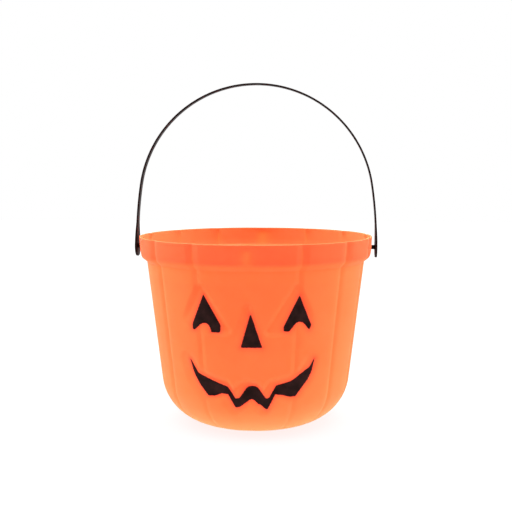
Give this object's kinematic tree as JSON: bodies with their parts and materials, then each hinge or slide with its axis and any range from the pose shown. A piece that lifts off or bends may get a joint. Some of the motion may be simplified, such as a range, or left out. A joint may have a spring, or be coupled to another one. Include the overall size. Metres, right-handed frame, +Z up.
{
  "type": "pumpkin candy pail",
  "caption": "Tapered pumpkin-lobed plastic pail with a recessed, black-painted grinning face and a flat strap handle that swings on snap pegs in the rim band.",
  "frame": {"origin": "centre of the flat base, on the surface that the pail stands on", "axes": "+Z up along the pail, the painted face looks along -Y, and +X runs along the handle's swing axis"},
  "size_m": [0.2264, 0.2138, 0.3123],
  "materials": {
    "orange_plastic": "satin injection-moulded polypropylene, slightly translucent",
    "black_plastic": "glossy flexible polyethylene strap",
    "black_paint": "thin satin black paint film"
  },
  "bodies": {
    "pail": {"pail_shell": "orange_plastic", "left_eye_paint": "black_paint", "right_eye_paint": "black_paint", "nose_paint": "black_paint", "mouth_paint": "black_paint"},
    "handle": {"handle_strap": "black_plastic"}
  },
  "joints": [
    {"name": "handle_swing", "type": "hinge", "parent": "pail", "child": "handle", "pos_m": [0, 0, 0.1621], "axis": [1, 0, 0], "range_deg": [-140, 140]}
  ]
}
